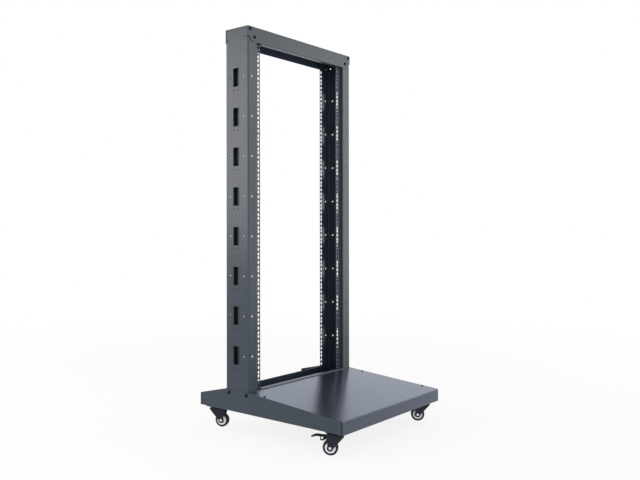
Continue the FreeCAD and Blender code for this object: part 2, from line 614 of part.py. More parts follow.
def make_tyre(label):
    """Ring with rounded edges."""
    body = new_body(label)
    ring = new_sketch(body, "ring_outline", "XZ_Plane")
    for radius in ("Sizes.wheel_radius", "Sizes.rim_radius"):
        draw_circle(ring, "Sizes.wheel_trail", "Sizes.wheel_radius", radius)
    tread = pad(body, ring, "tread", "Sizes.tyre_width", symmetric=True)
    doc.recompute()
    middle = value("(Sizes.wheel_radius + Sizes.rim_radius) / 2")
    rounded = []
    for index, edge in enumerate(tread.Shape.Edges, 1):
        if isinstance(edge.Curve, Part.Circle) and edge.Curve.Radius > middle:
            rounded.append(f"Edge{index}")
    fillet = body.newObject("PartDesign::Fillet", f"{body.Name}_rounded")
    fillet.Base = (tread, rounded)
    fillet.setExpression("Radius", "Sizes.tyre_round")
    return body


def make_rim(label):
    """Disc inside the tyre, with a hub that runs on the axle between the legs."""
    body = new_body(label)
    for name, radius, width in (("disc", "Sizes.rim_radius", "Sizes.rim_width"),
                                ("hub", "Sizes.hub_radius", "Sizes.fork_gap - 2 * Sizes.hub_gap")):
        ring = new_sketch(body, f"{name}_outline", "XZ_Plane")
        draw_circle(ring, "Sizes.wheel_trail", "Sizes.wheel_radius", radius)
        pad(body, ring, name, width, symmetric=True)
    bore = new_sketch(body, "bore_outline", "XZ_Plane")
    draw_circle(bore, "Sizes.wheel_trail", "Sizes.wheel_radius", "Sizes.axle_radius + Sizes.pin_gap")
    pocket(body, bore, "bore", symmetric=True)
    return body


def make_axle(label):
    """Pin through both legs, with a round cap outside each."""
    body = new_body(label)
    shaft = new_sketch(body, "shaft_outline", "XZ_Plane")
    draw_circle(shaft, "Sizes.wheel_trail", "Sizes.wheel_radius", "Sizes.axle_radius")
    pad(body, shaft, "shaft", FORK_WIDTH, symmetric=True)
    for name, way in (("near_cap", 1), ("far_cap", -1)):
        cap = new_sketch(body, f"{name}_outline", "XZ_Plane", f"{way} * {FORK_WIDTH} / 2")
        draw_circle(cap, "Sizes.wheel_trail", "Sizes.wheel_radius", "Sizes.axle_cap")
        pad(body, cap, name, "Sizes.axle_cap_height", reverse=way < 0)
    return body


def make_lever(label):
    """Pedal over the wheel with a drooping tip, on a pin held by the legs."""
    body = new_body(label)
    half = "Sizes.lever_sheet / 2"
    under, above = LEVER_BOTTOM, f"({LEVER_BOTTOM} + Sizes.lever_sheet)"
    tip = f"{under} - Sizes.lever_droop"
    pedal = new_sketch(body, "pedal_outline", "XZ_Plane")
    draw_outline(pedal, [
        ("Sizes.lever_inner", under),
        ("Sizes.lever_flat", under),
        ("Sizes.lever_crest", f"{under} + {half}"),
        ("Sizes.lever_reach", tip),
        (f"Sizes.lever_reach + {half}", f"{tip} + {half}"),
        ("Sizes.lever_crest", f"{above} + {half}"),
        ("Sizes.lever_flat", above),
        ("Sizes.lever_inner", above),
    ])
    pad(body, pedal, "pedal", "Sizes.lever_width", symmetric=True)
    pin = new_sketch(body, "pin_outline", "XZ_Plane")
    draw_circle(pin, "Sizes.lever_pivot", LEVER_PIVOT, "Sizes.lever_pin")
    pad(body, pin, "pin", FORK_WIDTH, symmetric=True)
    return body


CASTER_FRONT = f"{BASE_FRONT} + Sizes.caster_front"
CASTER_REAR = f"{BASE_REAR} - Sizes.caster_rear"
CASTERS = [
    ("front_left", LEFT, CASTER_FRONT, True),
    ("front_right", RIGHT, CASTER_FRONT, False),
    ("rear_left", LEFT, CASTER_REAR, False),
    ("rear_right", RIGHT, CASTER_REAR, True),
]

for name, side in (("left", LEFT), ("right", RIGHT)):
    make_sides(f"{name}_post_sides", side)
    make_bridges(f"{name}_post_bridges", side)
    make_faces(f"{name}_post_faces", side)
    make_steps(f"{name}_post_steps", side)
    make_rails(f"{name}_post_rails", side)
make_beam("top_beam", FRAME_TOP, -1, "Sizes.beam_front", "Sizes.beam_back")
make_beam("bottom_beam", FRAME_BOTTOM, 1, f"({UNITS_BOTTOM} - Sizes.beam_clearance - {FRAME_BOTTOM})",
          f"({UNITS_BOTTOM} - Sizes.beam_back_clearance - {FRAME_BOTTOM})")
make_foot("left_foot", LEFT)
make_foot("right_foot", RIGHT)
make_tray()
for corner, side, depth, braked in CASTERS:
    turning = [
        make_kingpin(f"{corner}_kingpin"),
        make_fork(f"{corner}_fork", braked),
        make_tyre(f"{corner}_tyre"),
        make_rim(f"{corner}_rim"),
        make_axle(f"{corner}_axle"),
    ]
    if braked:
        turning.append(make_lever(f"{corner}_brake_lever"))
    for body in turning:
        place_caster(body, side, depth, f"Sizes.{corner}_yaw")
    place_caster(make_plate(f"{corner}_caster_plate"), side, depth, "0")

doc.recompute()
for item in doc.Objects:
    if "Invalid" in item.State or "Error" in item.State:
        raise RuntimeError(f"{item.Label} failed: {item.State}")
os.makedirs("parts", exist_ok=True)
for body, solids in parts:
    shape = body.Shape
    if shape.isNull() or not shape.isValid() or len(shape.Solids) != value(solids):
        raise RuntimeError(f"{body.Label} is not {value(solids):.0f} valid solids")
for body, solids in parts:
    body.Shape.exportStep(f"parts/{body.Label}.step")
    print(body.Label, round(body.Shape.Volume))
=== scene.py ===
import json
import math
import bmesh
import bpy
import numpy as np
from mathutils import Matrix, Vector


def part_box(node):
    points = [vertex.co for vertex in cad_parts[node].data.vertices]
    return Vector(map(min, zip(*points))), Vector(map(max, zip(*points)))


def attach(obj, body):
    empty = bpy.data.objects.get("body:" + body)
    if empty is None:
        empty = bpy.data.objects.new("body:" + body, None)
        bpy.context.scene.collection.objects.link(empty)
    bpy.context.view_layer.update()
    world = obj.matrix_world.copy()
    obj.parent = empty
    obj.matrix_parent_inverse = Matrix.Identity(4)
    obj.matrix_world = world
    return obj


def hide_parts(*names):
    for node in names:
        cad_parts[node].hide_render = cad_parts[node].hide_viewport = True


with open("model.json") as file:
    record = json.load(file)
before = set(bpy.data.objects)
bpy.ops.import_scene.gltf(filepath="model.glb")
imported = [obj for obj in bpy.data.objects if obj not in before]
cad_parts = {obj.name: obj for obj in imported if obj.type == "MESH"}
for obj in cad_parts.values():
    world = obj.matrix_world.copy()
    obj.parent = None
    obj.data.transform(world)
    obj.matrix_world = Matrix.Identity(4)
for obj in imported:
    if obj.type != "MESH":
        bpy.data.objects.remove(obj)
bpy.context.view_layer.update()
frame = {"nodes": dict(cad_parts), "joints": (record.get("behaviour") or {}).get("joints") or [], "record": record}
nodes = frame["nodes"]
joints = {joint["name"]: joint for joint in frame["joints"]}
corners = ("front_left", "front_right", "rear_left", "rear_right")
braked = ("front_left", "rear_right")
mm = 0.001    # the frame is in metres, the sizes of the pieces are in millimetres
print("stage: frame loaded")


# Grid of points u, v turned into vertices and faces. Rows may wrap round along u or v,
# and a row that has shrunk to the axis becomes one pole point.
def gridPart(grid, wrapU=True, wrapV=False, poleStart=False, poleEnd=False):
    countU, countV = grid.shape[:2]
    ids = np.arange(countU * countV).reshape(countU, countV)
    if poleStart:
        ids[:, 0] = ids[0, 0]
    if poleEnd:
        ids[:, -1] = ids[0, -1]
    if wrapU:
        ids = np.concatenate([ids, ids[:1]], 0)
    if wrapV:
        ids = np.concatenate([ids, ids[:, :1]], 1)
    quads = np.stack([ids[:-1, :-1], ids[1:, :-1], ids[1:, 1:], ids[:-1, 1:]], -1).reshape(-1, 4)
    used, flat = np.unique(quads, return_inverse=True)
    return grid.reshape(-1, 3)[used], flat.reshape(-1, 4)


# Several parts as one, with the faces of each counted on from the vertices before it.
def joinParts(parts):
    starts = np.cumsum([0] + [len(points) for points, quads in parts[:-1]])
    points = np.concatenate([points for points, quads in parts])
    quads = np.concatenate([quads + start for (_, quads), start in zip(parts, starts)])
    return points, quads


# Object of one or more parts, with its faces outward, riding on a body and finished in one material.
# A quad at a pole has two equal corners and becomes a triangle.
def addPiece(name, parts, body, material, smoothAngle=35):
    points, quads = joinParts(parts)
    startPole = quads[:, 0] == quads[:, 1]
    endPole = quads[:, 2] == quads[:, 3]
    faces = quads[~(startPole | endPole)].tolist()
    faces += quads[startPole][:, [0, 2, 3]].tolist() + quads[endPole][:, [0, 1, 2]].tolist()
    mesh = bpy.data.meshes.new(name)
    mesh.from_pydata(points.tolist(), [], faces)
    shell = bmesh.new()
    shell.from_mesh(mesh)
    bmesh.ops.recalc_face_normals(shell, faces=shell.faces)
    shell.to_mesh(mesh)
    shell.free()
    mesh.polygons.foreach_set("use_smooth", np.ones(len(mesh.polygons), bool))
    mesh.set_sharp_from_angle(angle=math.radians(smoothAngle))
    mesh.materials.append(material)
    piece = bpy.data.objects.new(name, mesh)
    bpy.context.scene.collection.objects.link(piece)
    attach(piece, body)
    return piece


# Outline whose corners are eased: each corner gives way to a quadratic curve that leaves the line
# a given length before the corner and joins it again the same length after.
def eased(points, length, steps=5, closed=True):
    points = np.asarray(points, float)
    length = np.broadcast_to(np.asarray(length, float), len(points))[:, None]
    before = np.roll(points, 1, 0) - points
    after = np.roll(points, -1, 0) - points
    start = points + before / np.linalg.norm(before, axis=1, keepdims=True) * length
    end = points + after / np.linalg.norm(after, axis=1, keepdims=True) * length
    t = np.linspace(0, 1, steps)[None, :, None]
    curve = (1 - t) ** 2 * start[:, None] + 2 * t * (1 - t) * points[:, None] + t ** 2 * end[:, None]
    if closed:
        return curve.reshape(-1, 2)
    return np.concatenate([points[:1], curve[1:-1].reshape(-1, 2), points[-1:]])


# Direction divided by its own length.
def unit(direction):
    direction = np.asarray(direction, float)
    return direction / np.linalg.norm(direction)


# Angles of one full turn in equal steps, without the last one, which is the first again.
def fullTurn(count):
    return np.linspace(0, 2 * np.pi, count, endpoint=False)


# Points about an axis: at each angle the radius goes out square to the axis and the height goes along it.
def aboutAxis(centre, axis, angle, radius, height):
    helper = (0.0, 0.0, 1.0) if abs(axis[2]) < 0.9 else (1.0, 0.0, 0.0)
    side = unit(np.cross(helper, axis))
    ring = np.cos(angle)[:, None] * side + np.sin(angle)[:, None] * np.cross(axis, side)
    return np.asarray(centre, float) + radius[:, :, None] * ring[:, None] + height[:, :, None] * axis


# Profile of radius and height turned about an axis: radius goes out from the axis, height along it.
# The radius may also change with the angle, by a factor for each angle.
def turned(profile, centre, axis, count, closed=False, factor=None):
    radius, height = mm * np.asarray(profile, float).T[:, None]
    poles = radius[0, 0] == 0, radius[0, -1] == 0
    angle = fullTurn(count)
    if factor is not None:
        radius = radius * factor(angle)[:, None]
    return gridPart(aboutAxis(centre, unit(axis), angle, radius, height), True, closed, *poles)


# Closed section carried along a path: its first number goes along side, its second along the path's
# own lift, each times a scale. Where the scale is nought the end closes in one point.
def carried(section, path, side, lift, wide, high):
    grid = path[None] + section[:, 0, None, None] * wide[None, :, None] * side
    grid = grid + section[:, 1, None, None] * high[None, :, None] * lift[None]
    return gridPart(grid, True, False, wide[0] == 0, wide[-1] == 0)


# Noise in the object's own metres, at a number of grains in each metre.
def grain(tree, scale, detail=2.0):
    place = tree.nodes.new("ShaderNodeTexCoord")
    noise = tree.nodes.new("ShaderNodeTexNoise")
    noise.inputs["Scale"].default_value = scale
    noise.inputs["Detail"].default_value = detail
    noise.inputs["Roughness"].default_value = 0.5
    tree.links.new(place.outputs["Object"], noise.inputs["Vector"])
    return noise.outputs["Fac"]


# Value moved in a straight line from one range to another and held at the ends.
# The range that is set here is the one that most of the noise lies in.
def mapped(tree, source, low, high, fromLow=0.3, fromHigh=0.7):
    ranger = tree.nodes.new("ShaderNodeMapRange")
    ends = {"From Min": fromLow, "From Max": fromHigh, "To Min": low, "To Max": high}
    for socket, number in ends.items():
        ranger.inputs[socket].default_value = number
    tree.links.new(source, ranger.inputs["Value"])
    return ranger.outputs["Result"]


# Colour that goes from the first to the second as the factor goes from nought to one.
def blended(tree, factor, first, second):
    mixer = tree.nodes.new("ShaderNodeMix")
    mixer.data_type = "RGBA"
    mixer.inputs["A"].default_value = (*first, 1)
    mixer.inputs["B"].default_value = (*second, 1)
    tree.links.new(factor, mixer.inputs["Factor"])
    return mixer.outputs["Result"]


# Two shaders mixed by a factor: the first at nought, the second at one.
def shaderMix(tree, factor, first, second):
    mixer = tree.nodes.new("ShaderNodeMixShader")
    tree.links.new(factor, mixer.inputs["Fac"])
    tree.links.new(first, mixer.inputs[1])
    tree.links.new(second, mixer.inputs[2])
    return mixer.outputs["Shader"]


# One step of arithmetic on values that change over the surface or from ray to ray.
def worked(tree, operation, first, second):
    step = tree.nodes.new("ShaderNodeMath")
    step.operation = operation
    tree.links.new(first, step.inputs[0])
    tree.links.new(second, step.inputs[1])
    return step.outputs["Value"]


bumpReach = 0.2    # height of a bump at full strength


# Finish of one surface: a fine grain tints it between two colours, sets its roughness between two values
# and lifts it by a small height. Broad patches take the share of the tint that the fine grain leaves.
def finish(look):
    material = bpy.data.materials.new(look["name"])
    material.use_nodes = True
    tree = material.node_tree
    shader = tree.nodes["Principled BSDF"]
    fine = grain(tree, look["grains"])
    broad = grain(tree, look["patches"], 3.0)
    tint = tree.nodes.new("ShaderNodeMath")
    tint.operation = "MULTIPLY_ADD"
    tint.inputs[1].default_value = look["fineShare"]
    tree.links.new(fine, tint.inputs[0])
    tree.links.new(mapped(tree, broad, 0.0, 1 - look["fineShare"]), tint.inputs[2])
    colour = blended(tree, tint.outputs["Value"], look["dark"], look["light"])
    tree.links.new(colour, shader.inputs["Base Color"])
    tree.links.new(mapped(tree, fine, *look["rough"]), shader.inputs["Roughness"])
    bump = tree.nodes.new("ShaderNodeBump")
    bump.inputs["Strength"].default_value = look["lift"]
    bump.inputs["Distance"].default_value = bumpReach * mm
    tree.links.new(fine, bump.inputs["Height"])
    tree.links.new(bump.outputs["Normal"], shader.inputs["Normal"])
    shader.inputs["Metallic"].default_value = look.get("metal", 0.0)
    shader.inputs["Specular IOR Level"].default_value = look.get("gloss", 0.5)
    shader.inputs["Specular Tint"].default_value = (*look.get("sheen", (1, 1, 1)), 1)
    if "film" in look:    # a clear film that colours what lies under it, more so at a low angle
        shader.inputs["Coat Weight"].default_value = 1.0
        shader.inputs["Coat IOR"].default_value = look["filmIndex"]
        shader.inputs["Coat Roughness"].default_value = look["rough"][0]
        shader.inputs["Coat Tint"].default_value = (*look["film"], 1)
    material.diffuse_color = (*look["light"], 1)
    return material


# Grains and patches are counts in each metre, dark and light are the two colours of the tint.
frameCoat = finish({"name": "frame_coat", "dark": (0.021, 0.033, 0.048), "light": (0.029, 0.042, 0.060),
                    "grains": 1500, "patches": 7, "fineShare": 0.6, "rough": (0.30, 0.38), "lift": 0.15,
                    "gloss": 0.42})
trayCoat = finish({"name": "tray_coat", "dark": (0.022, 0.024, 0.026), "light": (0.030, 0.032, 0.034),
                   "grains": 1900, "patches": 5, "fineShare": 0.6, "rough": (0.22, 0.28), "lift": 0.05,
                   "gloss": 0.71, "sheen": (0.86, 0.93, 0.95), "film": (0.78, 0.84, 1.0),
                   "filmIndex": 1.18})
casterSteel = finish({"name": "caster_steel", "dark": (0.004, 0.006, 0.012), "light": (0.009, 0.012, 0.021),
                      "grains": 1100, "patches": 60, "fineShare": 0.5, "rough": (0.36, 0.48), "lift": 0.10,
                      "gloss": 0.25})
tyreRubber = finish({"name": "tyre_rubber", "dark": (0.006, 0.006, 0.010), "light": (0.011, 0.012, 0.018),
                     "grains": 2200, "patches": 90, "fineShare": 0.5, "rough": (0.55, 0.72), "lift": 0.20,
                     "gloss": 0.25})
rimPlastic = finish({"name": "rim_plastic", "dark": (0.84, 0.84, 0.86), "light": (0.92, 0.92, 0.94),
                     "grains": 1300, "patches": 50, "fineShare": 0.5, "rough": (0.32, 0.42), "lift": 0.05})
axleSteel = finish({"name": "axle_steel", "dark": (0.58, 0.59, 0.64), "light": (0.70, 0.71, 0.76),
                    "grains": 1700, "patches": 80, "fineShare": 0.6, "rough": (0.22, 0.34), "lift": 0.06,
                    "metal": 1.0})
leverPlastic = finish({"name": "lever_plastic", "dark": (0.003, 0.004, 0.007),
                       "light": (0.007, 0.009, 0.014), "grains": 1600, "patches": 70, "fineShare": 0.5,
                       "rough": (0.46, 0.58), "lift": 0.14, "gloss": 0.2})
screwBlack = finish({"name": "screw_black", "dark": (0.001, 0.003, 0.007), "light": (0.003, 0.006, 0.012),
                     "grains": 1800, "patches": 120, "fineShare": 0.5, "rough": (0.40, 0.52), "lift": 0.08,
                     "gloss": 0.2})
slotFinish = {"frame_coat": frameCoat, "tray_coat": trayCoat, "caster_steel": casterSteel,
              "tyre_rubber": tyreRubber, "rim_plastic": rimPlastic, "axle_steel": axleSteel,
              "lever_plastic": leverPlastic}
for subpart in frame["record"]["subparts"]:
    mesh = nodes[subpart["node"]].data
    mesh.materials.clear()
    mesh.materials.append(slotFinish[subpart["material_slot"]])
print("stage: materials")

# Head of a screw, as shares of its radius and height. Only sunk, its foot below the surface, is a length.
screwShape = {"rings": (0, 0.12, 0.24, 0.36, 0.48, 0.6, 0.72, 0.84, 0.93, 0.98, 1.0), "turns": 32,
              "edge": 0.35, "grooveReach": 0.62, "grooveEnd": 0.12, "grooveHalf": 0.15, "grooveSide": 0.05,
              "grooveDepth": 0.55, "sunk": 0.4}


# Pan head on a surface: a dome that falls with the fourth power of the radius, sunk along two crossed
# grooves, and a flat foot below the surface.
def screwHead(place, normal, radius, height, turn):
    shape = screwShape
    ring, angle = np.array(shape["rings"])[None], fullTurn(shape["turns"])
    along, across = ring * np.cos(angle - turn)[:, None], ring * np.sin(angle - turn)[:, None]
    inReach = np.clip((shape["grooveReach"] - ring) / shape["grooveEnd"], 0, 1)
    offLine = np.minimum(np.abs(along), np.abs(across))
    groove = np.clip((shape["grooveHalf"] - offLine) / shape["grooveSide"], 0, 1) * inReach
    dome = shape["edge"] + (1 - shape["edge"]) * np.sqrt(1 - ring ** 4)
    rise = height * (dome - shape["grooveDepth"] * groove)
    reach = radius * np.concatenate([ring, [[1.0, 0.0]]], 1)
    level = np.concatenate([rise, np.full((len(angle), 2), -shape["sunk"])], 1)
    grid = aboutAxis(place, unit(normal), angle, reach * mm, level * mm)
    return gridPart(grid, poleStart=True, poleEnd=True)


# Screws and bolts that hold the frame: across from its middle, down from its top, up from the base's
# underside, and depths along it. A cross is turned by a start and a rate times the screw's place.
frameScrews = {"beam": {"radius": 6.0, "height": 3.0, "turn": (0.3, 0.01),
                        "across": (289.0, 266.5), "down": (9.3, 34.8)},
               "low": {"radius": 6.0, "height": 3.0, "turn": (0.7, 0.01),
                       "across": (289.0, 266.5), "up": (17.0, 43.0)},
               "foot": {"radius": 6.0, "height": 3.2, "turn": (0.0, 0.02),
                        "depths": (162.0, 84.0), "up": 62.5},
               "tray": {"radius": 4.4, "height": 2.0, "turn": (0.0, 0.03),
                        "across": 290.0, "depths": (12.0, -242.0)}}
traySheet = {"frontUp": 42.0, "rise": 30.5, "run": 374.0}    # the sloped sheet that the tray screws sit on


# Head of one kind of frame screw, its cross turned by the start plus the rate times where it sits.
def frameHead(kind, place, normal, where):
    screw = frameScrews[kind]
    start, rate = screw["turn"]
    return screwHead(place, normal, screw["radius"], screw["height"], start + rate * where)


(_, plateFront, _), (_, plateBack, frameTop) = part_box("top_beam")
footOutside, _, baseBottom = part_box("left_foot")[0]
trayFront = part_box("front_tray")[0][1]
trayRise = traySheet["rise"] / traySheet["run"]
heads = []
for side in (-1, 1):
    beam, low, foot, tray = (frameScrews[kind] for kind in ("beam", "low", "foot", "tray"))
    for across, down in zip(beam["across"], beam["down"]):
        for depth, way in ((plateFront, -1), (plateBack, 1)):
            place = side * across * mm, depth, frameTop - down * mm
            heads.append(frameHead("beam", place, (0, way, 0), across))
    for across, up in zip(low["across"], low["up"]):
        place = side * across * mm, plateBack, baseBottom + up * mm
        heads.append(frameHead("low", place, (0, 1, 0), across))
    for depth in foot["depths"]:
        place = side * -footOutside, depth * mm, baseBottom + foot["up"] * mm
        heads.append(frameHead("foot", place, (side, 0, 0), depth))
    for depth in tray["depths"]:
        level = baseBottom + traySheet["frontUp"] * mm + (depth * mm - trayFront) * trayRise
        place = side * tray["across"] * mm, depth * mm, level
        heads.append(frameHead("tray", place, (0.0, -trayRise, 1.0), depth))
addPiece("frame_screws", heads, "rack", screwBlack)
print("stage: screws")

# Sizes that the pieces of a caster share: levels above the floor, the trail from the swivel axis to the axle,
# and half the width over the fork's legs.
caster = {"wheel": 23.5, "trail": 20.0, "rim": 17.0, "legOutside": 14.5, "plateBottom": 69.5}


# Points of a caster in the frame's metres: along its trail, along its axle and up, turned about the swivel.
def toWorld(points, swivel, turn):
    return swivel + mm * np.asarray(points, float) @ turn


# Tyre: ease is how far each corner of the outline is rounded, from the rim to the middle of the tread.
tyreSizes = {"half": 10.0, "inset": 0.6, "seatHalf": 9.0, "bead": (18.0, 9.6), "wall": 19.0,
             "ease": (0.2, 0.4, 0.4, 4.0, 0.5), "easeSteps": 7, "turns": 72}


# Tyre: an outline from the rim over wall and tread, the same on both sides, eased and turned about the axle.
def tyrePart(centre, axis):
    size = tyreSizes
    half = [(caster["rim"] - size["inset"], size["seatHalf"]), size["bead"], (size["wall"], size["half"]),
            (caster["wheel"], size["half"])]
    outline = [(radius, -across) for radius, across in half] + [(caster["wheel"], 0.0)] + half[::-1]
    tread = eased(outline, size["ease"] + size["ease"][-2::-1], size["easeSteps"])
    return turned(tread, centre, axis, size["turns"], True)


# Rim: half a profile of radius and height from the bore to the tyre, and ribs on the web between.
rimSizes = {"profile": [(4.05, 12.2), (7.4, 12.2), (8.0, 11.4), (8.8, 8.2), (10.0, 7.4), (13.4, 7.4),
                        (14.8, 7.8), (15.4, 8.6), (15.9, 9.0), (caster["rim"], 9.0)],
            "ribs": 6, "ribHeight": 1.0, "ribSharp": 8, "ribMiddle": 11.6, "ribSpread": 2.4, "turns": 96}


# Rim: the profile and its mirror image turned about the axle. A rib rises as a power of a cosine round the
# axle times a bell curve of the radius.
def rimPart(centre, axis):
    size = rimSizes
    half = size["profile"]
    profile = np.array(half + [(radius, -height) for radius, height in reversed(half)])
    radius, height = profile.T[:, None]
    angle = fullTurn(size["turns"])
    window = np.exp(-((radius - size["ribMiddle"]) / size["ribSpread"]) ** 2)
    rib = (0.5 + 0.5 * np.cos(size["ribs"] * angle)) ** size["ribSharp"]
    height = height + np.sign(height) * size["ribHeight"] * rib[:, None] * window
    return gridPart(aboutAxis(centre, unit(axis), angle, radius * mm, height * mm), wrapV=True)


# Axle: profiles of radius and height above the fork's leg, for the cap on one side and the nut on the other.
axleSizes = {"radius": 4.0, "turns": 32, "nutTurns": 36, "nutFlat": 0.9,
             "cap": [(0, 2.7), (2.8, 2.65), (3.8, 2.5), (4.4, 1.9), (4.7, 1.2), (4.7, 0), (4.0, 0), (0, 0)],
             "nut": [(0, 0), (4.0, 0), (4.7, 0), (4.7, 2.0), (4.0, 2.5), (3.1, 2.5), (2.7, 3.0), (0, 3.0)]}


# Six flat sides of a nut: the radius grows towards each corner as one over the cosine.
def hexagon(angle):
    return axleSizes["nutFlat"] / np.cos((angle + np.pi / 6) % (np.pi / 3) - np.pi / 6)


# Axle: a shaft as long as the fork is wide, with a domed cap and a nut outside the legs, turned about it.
def axleParts(centre, axis):
    size, legs = axleSizes, caster["legOutside"]
    shaft = [(0, legs), (size["radius"], legs), (size["radius"], -legs), (0, -legs)]
    cap = [(radius, legs + height) for radius, height in size["cap"]]
    nut = [(radius, -legs - height) for radius, height in size["nut"]]
    return [turned(shaft, centre, axis, size["turns"]), turned(cap, centre, axis, size["turns"]),
            turned(nut, centre, axis, size["nutTurns"], False, hexagon)]


# Top plate and its bearing cup: flare is how far out and down from the plate, edge how far in and up from
# the cup's underside.
plateSizes = {"half": 28.0, "corner": 6.0, "cornerSteps": 7, "top": 72.0, "edgeIn": 0.6, "edgeDown": 0.5,
              "cup": 20.0, "cupBottom": 64.3, "cupTurns": 56, "flare": [(1.5, 0), (1.2, 0.8), (0, 1.6)],
              "edge": [(0, 1.4), (0.6, 0.4), (1.6, 0)]}
plateScrews = {"spread": 21.0, "radius": 4.2, "height": 1.8, "turn": (1.0, 0.5)}


# Square plate with eased corners: the outline shrinks to the middle of its top and of its underside.
# The cup under it is a flared profile turned about the swivel axis.
def plateParts(swivel):
    size, half, under = plateSizes, plateSizes["half"], caster["plateBottom"]
    square = [(-half, -half), (half, -half), (half, half), (-half, half)]
    outline = eased(square, size["corner"], size["cornerSteps"])
    inner = 1 - size["edgeIn"] / half
    scale = np.array([0, inner, 1, 1, inner, 0])
    level = np.array([size["top"], size["top"], size["top"] - size["edgeDown"],
                      under + size["edgeDown"], under, under])
    flat = outline[:, None, :] * scale[None, :, None]
    grid = np.concatenate([flat, np.repeat(level[None, :, None], len(outline), 0)], 2) * mm
    grid[:, :, :2] += swivel[:2]
    flare = [(size["cup"] + out, under - down) for out, down in size["flare"]]
    edge = [(size["cup"] - into, size["cupBottom"] + up) for into, up in size["edge"]]
    cup = [(0, under)] + flare + edge + [(0, size["cupBottom"])]
    return [gridPart(grid, poleStart=True, poleEnd=True), turned(cup, swivel, (0, 0, 1), size["cupTurns"])]


# Pedal of a brake, along the trail from the swivel axis and up from the floor. Section is across and up from
# the pedal's own line, as shares of its half width and its thickness.
pedalSizes = {"start": 23.0, "end": 69.5, "tip": 10.0, "steps": 16, "tipSteps": 9, "tipFirst": 0.15,
              "level": 58.45, "rise": 1.3, "riseFrom": 46.0, "riseRun": 14.0, "droop": 7.0, "droopFrom": 58.0,
              "droopRun": 21.5, "half": 9.0, "thick": 1.15, "thinBy": 0.15, "thinFrom": 60.0, "thinRun": 19.5,
              "section": [(-1, -2.2), (-0.88, -2.2), (-0.84, -0.9), (0.84, -0.9), (0.88, -2.2), (1, -2.2),
                          (1, 0.4), (0.93, 0.95), (0.5, 1.1), (0, 1.15), (-0.5, 1.1), (-0.93, 0.95),
                          (-1, 0.4)]}


# Pedal: a channel section carried from the fork out to a rounded, drooping tip. Its level rises in a smooth
# step to a crest and falls with the square of the distance past it, and its width closes in a half round.
def pedalPart(swivel, turn):
    size = pedalSizes
    straight = np.linspace(size["start"], size["end"], size["steps"])
    halfRound = np.sin(np.linspace(size["tipFirst"], np.pi / 2, size["tipSteps"]))
    along = np.concatenate([straight[:1], straight, size["end"] + size["tip"] * halfRound])
    step = np.clip((along - size["riseFrom"]) / size["riseRun"], 0, 1)
    fall = np.clip(along - size["droopFrom"], 0, None) / size["droopRun"]
    level = size["level"] + size["rise"] * step ** 2 * (3 - 2 * step) - size["droop"] * fall ** 2
    tip = np.clip(along - size["end"], 0, None) / size["tip"]
    wide = size["half"] * np.sqrt(np.clip(1 - tip ** 2, 0, 1))
    high = size["thick"] - size["thinBy"] * np.clip((along - size["thinFrom"]) / size["thinRun"], 0, 1)
    wide[[0, -1]], high[[0, -1]] = 0, 0    # both ends close in one point
    lean = np.arctan(np.gradient(level) / np.maximum(np.gradient(along), 0.3))
    lift = mm * np.stack([-np.sin(lean), 0 * lean, np.cos(lean)], 1) @ turn
    path = toWorld(np.stack([along, 0 * along, level], 1), swivel, turn)
    return carried(np.array(size["section"]), path, turn[1], lift, wide * mm, high)


# Brake shoe under the pedal: clear is the radius of its underside about the axle.
shoeSizes = {"start": 29.0, "end": 41.6, "top": 57.5, "clear": 28.2, "half": 6.0, "edge": 0.6,
             "edgeScale": 0.93, "steps": 9}


# Brake shoe: a block whose underside follows a circle about the wheel, carried across its width.
def shoePart(swivel, turn):
    size = shoeSizes
    reach = np.linspace(size["start"], size["end"], size["steps"])
    under = caster["wheel"] + np.sqrt(size["clear"] ** 2 - (reach - caster["trail"]) ** 2)
    top = [(size["end"], size["top"]), (size["start"], size["top"])]
    outline = np.concatenate([np.stack([reach, under], 1), top])
    middle = outline.mean(0)
    half, inside = size["half"], size["half"] - size["edge"]
    across = np.array([-half, -half, -inside, inside, half, half])
    scale = np.array([0, size["edgeScale"], 1, 1, size["edgeScale"], 0])
    flat = middle + (outline - middle)[:, None] * scale[None, :, None]
    local = np.stack([flat[:, :, 0], np.repeat(across[None], len(outline), 0), flat[:, :, 1]], 2)
    return gridPart(toWorld(local, swivel, turn), poleStart=True, poleEnd=True)


# Small loop under the pedal: its line along the trail and up, and half the width and thickness of its strap.
loopSizes = {"line": [(41.2, 57.6), (41.4, 44.6), (50.2, 44.0), (50.4, 57.6)], "ease": (0, 2.4, 2.4, 0),
             "easeSteps": 6, "half": 5.0, "thick": 1.1, "sectionEase": 0.25, "sectionSteps": 3}


# Flat strap carried round the open loop: down, along towards the tip and back up.
def loopPart(swivel, turn):
    size = loopSizes
    line = eased(size["line"], size["ease"], size["easeSteps"], False)
    line = np.concatenate([line[:1], line, line[-1:]])
    section = eased([(-1, -1), (1, -1), (1, 1), (-1, 1)], size["sectionEase"], size["sectionSteps"])
    step = np.gradient(line, axis=0)
    step /= np.maximum(np.linalg.norm(step, axis=1, keepdims=True), 1e-6)
    lift = mm * np.stack([-step[:, 1], 0 * step[:, 0], step[:, 0]], 1) @ turn
    scale = np.ones(len(line))
    scale[[0, -1]] = 0    # both ends close in one point
    path = toWorld(np.stack([line[:, 0], 0 * line[:, 0], line[:, 1]], 1), swivel, turn)
    return carried(section, path, turn[1], lift, size["half"] * mm * scale, size["thick"] * scale)


# Pin that the lever turns on: along the trail, up from the floor, and its radius.
pinSizes = {"along": 26.0, "up": 58.45, "radius": 2.0, "turns": 20}


